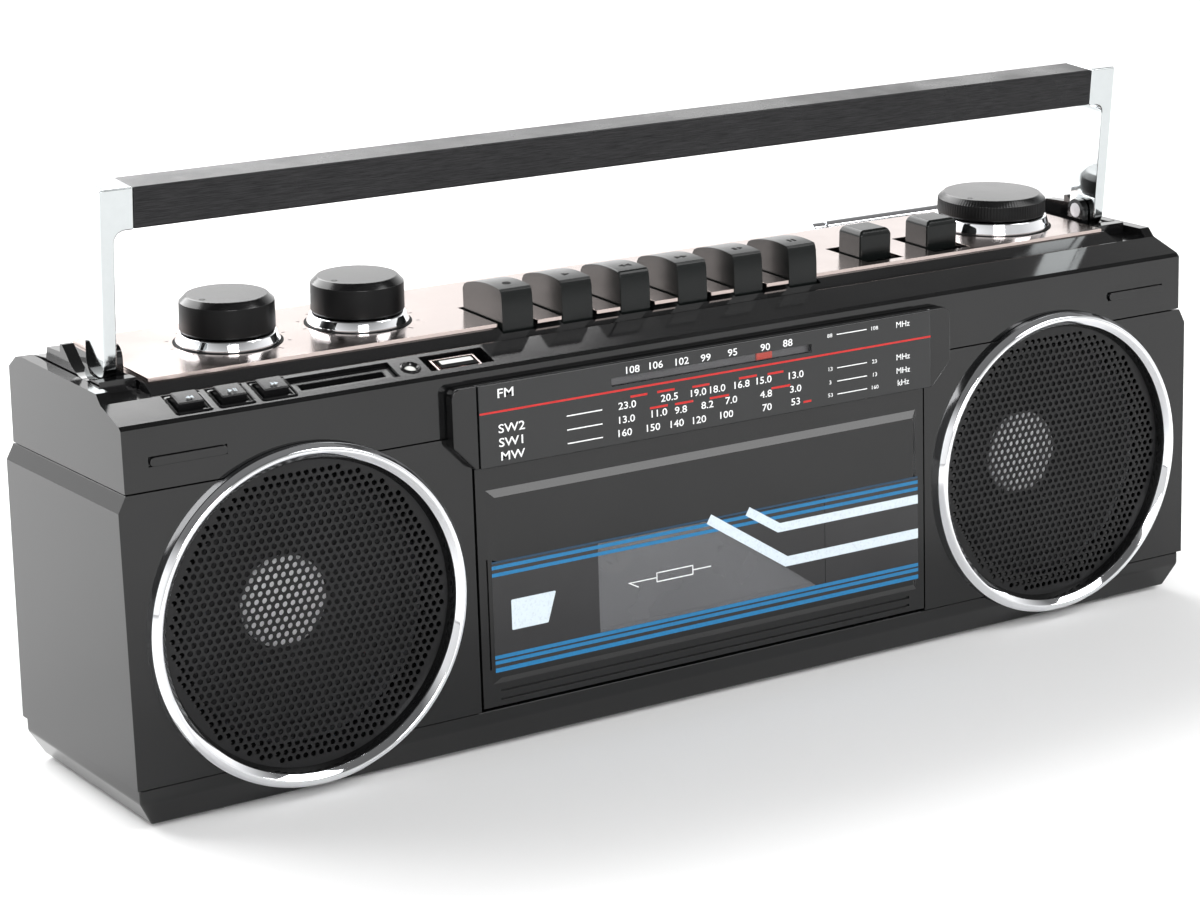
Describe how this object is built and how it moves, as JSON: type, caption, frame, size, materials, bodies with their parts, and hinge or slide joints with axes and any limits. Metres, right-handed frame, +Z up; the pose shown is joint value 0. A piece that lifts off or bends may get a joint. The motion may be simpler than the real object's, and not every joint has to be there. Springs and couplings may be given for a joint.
{
  "type": "portable radio cassette recorder",
  "caption": "Slim portable radio cassette recorder with round speakers, fold-back handle, piano keys, tuning dial and cassette door.",
  "frame": {"origin": "middle of the bounding box, on the surface that the feet stand on", "axes": "+X to the right seen from the front, +Y to the back, +Z up; the speakers face -Y"},
  "size_m": [0.35, 0.078, 0.1614],
  "materials": {
    "gloss_black": "polished moulded black plastic",
    "satin_black": "satin moulded black plastic",
    "key_black": "satin grey-black plastic",
    "champagne": "brushed pinkish champagne plate",
    "chrome": "mirror chrome",
    "black_aluminium": "brushed black anodised",
    "mesh_black": "black painted perforated steel",
    "dark_lens": "dark clear plastic",
    "window_grey": "smoke-grey clear plastic",
    "scale_print": "printed black scale",
    "pointer_red": "red plastic",
    "steel": "plated steel",
    "nickel": "nickel plate",
    "cone_paper": "pressed black paper",
    "cap_silver": "silver foil",
    "white_plastic": "white acetal",
    "rubber": "black rubber",
    "board_green": "green solder mask",
    "iron_core": "varnished laminations",
    "led_red": "clear red"
  },
  "bodies": {
    "case": {"front_cabinet": "gloss_black", "top_cover": "gloss_black", "rear_cover": "satin_black", "base_tray": "gloss_black", "top_plate": "champagne", "handle_brackets": "gloss_black", "handle_pins": "steel", "knob_rings": "chrome", "control_pots": "steel", "tuning_capacitor": "steel", "dial_frame": "gloss_black", "dial_scale": "scale_print", "dial_lens": "dark_lens", "speaker_rings": "chrome", "grilles": "mesh_black", "speaker_baskets": "steel", "speaker_cones": "cone_paper", "dust_caps": "cap_silver", "key_axle": "steel", "slide_switches": "steel", "card_slot": "satin_black", "usb_socket": "nickel", "status_led": "led_red", "deck_chassis": "steel", "motor": "steel", "drive_belt": "rubber", "main_board": "board_green", "transformer": "iron_core", "mains_inlet": "satin_black", "feet": "rubber"},
    "handle": {"handle_straps": "chrome", "handle_grip": "black_aluminium"},
    "volume": {"volume_knob": "satin_black"},
    "tone": {"tone_knob": "satin_black"},
    "tuning": {"tuning_knob": "satin_black"},
    "drum": {"cord_drum": "white_plastic"},
    "pointer": {"dial_pointer": "pointer_red"},
    "function": {"function_slider": "key_black"},
    "band": {"band_slider": "key_black"},
    "button_back": {"button_back": "satin_black"},
    "button_play": {"button_play": "satin_black"},
    "button_next": {"button_next": "satin_black"},
    "door": {"cassette_door": "gloss_black", "door_window": "window_grey", "cassette_carrier": "satin_black"},
    "supply": {"supply_spindle": "white_plastic"},
    "takeup": {"takeup_spindle": "white_plastic"},
    "flywheel": {"flywheel": "steel"},
    "head": {"head_plate": "steel"},
    "pinch": {"pinch_roller": "rubber"},
    "battery_door": {"battery_door": "satin_black"},
    "antenna_base": {"antenna_base": "chrome"},
    "antenna_tubes": {"antenna_tubes": "chrome"},
    "antenna_tip": {"antenna_tip": "chrome"},
    "key_record": {"key_record": "key_black"},
    "key_play": {"key_play": "key_black"},
    "key_rewind": {"key_rewind": "key_black"},
    "key_forward": {"key_forward": "key_black"},
    "key_stop": {"key_stop": "key_black"},
    "key_pause": {"key_pause": "key_black"}
  },
  "joints": [
    {"name": "handle_fold", "type": "hinge", "parent": "case", "child": "handle", "pos_m": [0, -0.0035, 0.116], "axis": [-1, 0, 0], "range_deg": [0, 85]},
    {"name": "volume_turn", "type": "hinge", "parent": "case", "child": "volume", "pos_m": [-0.1235, 0.0055, 0.11351], "axis": [0, -0.0523, 0.9986], "range_deg": [-150, 150]},
    {"name": "tone_turn", "type": "hinge", "parent": "case", "child": "tone", "pos_m": [-0.085, 0.0055, 0.11351], "axis": [0, -0.0523, 0.9986], "range_deg": [-150, 150]},
    {"name": "tuning_turn", "type": "hinge", "parent": "case", "child": "tuning", "pos_m": [0.133, 0.0055, 0.11351], "axis": [0, -0.0523, 0.9986], "range_deg": [-689, 168]},
    {"name": "pointer_slide", "type": "slide", "parent": "case", "child": "pointer", "axis": [1, 0, 0], "range_m": [-0.0484, 0.012]},
    {"name": "drum_turn", "type": "hinge", "parent": "case", "child": "drum", "pos_m": [0.096, 0.009, 0.11369], "axis": [0, -0.0523, 0.9986], "range_deg": [-40, 150]},
    {"name": "key_record_press", "type": "hinge", "parent": "case", "child": "key_record", "pos_m": [0, 0.018, 0.103], "axis": [1, 0, 0], "range_deg": [0, 7], "stiffness_Nm_per_rad": 0.25, "springref_deg": -6.88},
    {"name": "key_play_press", "type": "hinge", "parent": "case", "child": "key_play", "pos_m": [0, 0.018, 0.103], "axis": [1, 0, 0], "range_deg": [0, 7], "stiffness_Nm_per_rad": 0.25, "springref_deg": -6.88},
    {"name": "key_rewind_press", "type": "hinge", "parent": "case", "child": "key_rewind", "pos_m": [0, 0.018, 0.103], "axis": [1, 0, 0], "range_deg": [0, 7], "stiffness_Nm_per_rad": 0.25, "springref_deg": -6.88},
    {"name": "key_forward_press", "type": "hinge", "parent": "case", "child": "key_forward", "pos_m": [0, 0.018, 0.103], "axis": [1, 0, 0], "range_deg": [0, 7], "stiffness_Nm_per_rad": 0.25, "springref_deg": -6.88},
    {"name": "key_stop_press", "type": "hinge", "parent": "case", "child": "key_stop", "pos_m": [0, 0.018, 0.103], "axis": [1, 0, 0], "range_deg": [0, 7], "stiffness_Nm_per_rad": 0.25, "springref_deg": -6.88},
    {"name": "key_pause_press", "type": "hinge", "parent": "case", "child": "key_pause", "pos_m": [0, 0.018, 0.103], "axis": [1, 0, 0], "range_deg": [0, 7], "stiffness_Nm_per_rad": 0.25, "springref_deg": -6.88},
    {"name": "function_slide", "type": "slide", "parent": "case", "child": "function", "axis": [0, 0.9986, 0.0523], "range_m": [-0.0044, 0.0044]},
    {"name": "band_slide", "type": "slide", "parent": "case", "child": "band", "axis": [0, 0.9986, 0.0523], "range_m": [-0.0044, 0.0044]},
    {"name": "button_back_press", "type": "slide", "parent": "case", "child": "button_back", "axis": [0, 0.3328, -0.943], "range_m": [0, 0.0008], "stiffness_N_per_m": 250, "springref_m": -0.001},
    {"name": "button_play_press", "type": "slide", "parent": "case", "child": "button_play", "axis": [0, 0.3328, -0.943], "range_m": [0, 0.0008], "stiffness_N_per_m": 250, "springref_m": -0.001},
    {"name": "button_next_press", "type": "slide", "parent": "case", "child": "button_next", "axis": [0, 0.3328, -0.943], "range_m": [0, 0.0008], "stiffness_N_per_m": 250, "springref_m": -0.001},
    {"name": "door_open", "type": "hinge", "parent": "case", "child": "door", "pos_m": [0, -0.0326, 0.015], "axis": [1, 0, 0], "range_deg": [0, 28]},
    {"name": "supply_spin", "type": "hinge", "parent": "case", "child": "supply", "pos_m": [-0.02125, -0.015, 0.043], "axis": [0, -1, 0], "continuous": true},
    {"name": "flywheel_spin", "type": "hinge", "parent": "case", "child": "flywheel", "pos_m": [0.024, -0.007, 0.068], "axis": [0, -1, 0], "continuous": true},
    {"name": "takeup_spin", "type": "hinge", "parent": "case", "child": "takeup", "pos_m": [0.02125, -0.015, 0.043], "axis": [0, -1, 0], "continuous": true},
    {"name": "head_slide", "type": "slide", "parent": "case", "child": "head", "axis": [0, 0, -1], "range_m": [0, 0.006], "stiffness_N_per_m": 4.9, "springref_m": -0.05},
    {"name": "pinch_spin", "type": "hinge", "parent": "head", "child": "pinch", "pos_m": [0.03, -0.023, 0.0835], "axis": [0, -1, 0], "continuous": true},
    {"name": "battery_door_open", "type": "hinge", "parent": "case", "child": "battery_door", "pos_m": [0, 0.0364, 0.0216], "axis": [-1, 0, 0], "range_deg": [0, 85]},
    {"name": "antenna_turn", "type": "hinge", "parent": "case", "child": "antenna_base", "pos_m": [0.157, 0.0362, 0.1127], "axis": [0, 1, 0], "range_deg": [0, 120]},
    {"name": "antenna_tilt", "type": "hinge", "parent": "antenna_base", "child": "antenna_tubes", "pos_m": [0.157, 0.0362, 0.1127], "axis": [0, 0, -1], "range_deg": [0, 90]},
    {"name": "antenna_extend", "type": "slide", "parent": "antenna_tubes", "child": "antenna_tip", "axis": [-1, 0, 0], "range_m": [0, 0.045]}
  ],
  "couplings": [
    {"joint": "pointer_slide", "follows": "tuning_turn", "m_per_rad": 0.004},
    {"joint": "drum_turn", "follows": "tuning_turn", "ratio": -0.21053},
    {"joint": "takeup_spin", "follows": "flywheel_spin", "ratio": -0.11},
    {"joint": "head_slide", "follows": "key_play_press", "m_per_rad": 0.045}
  ]
}
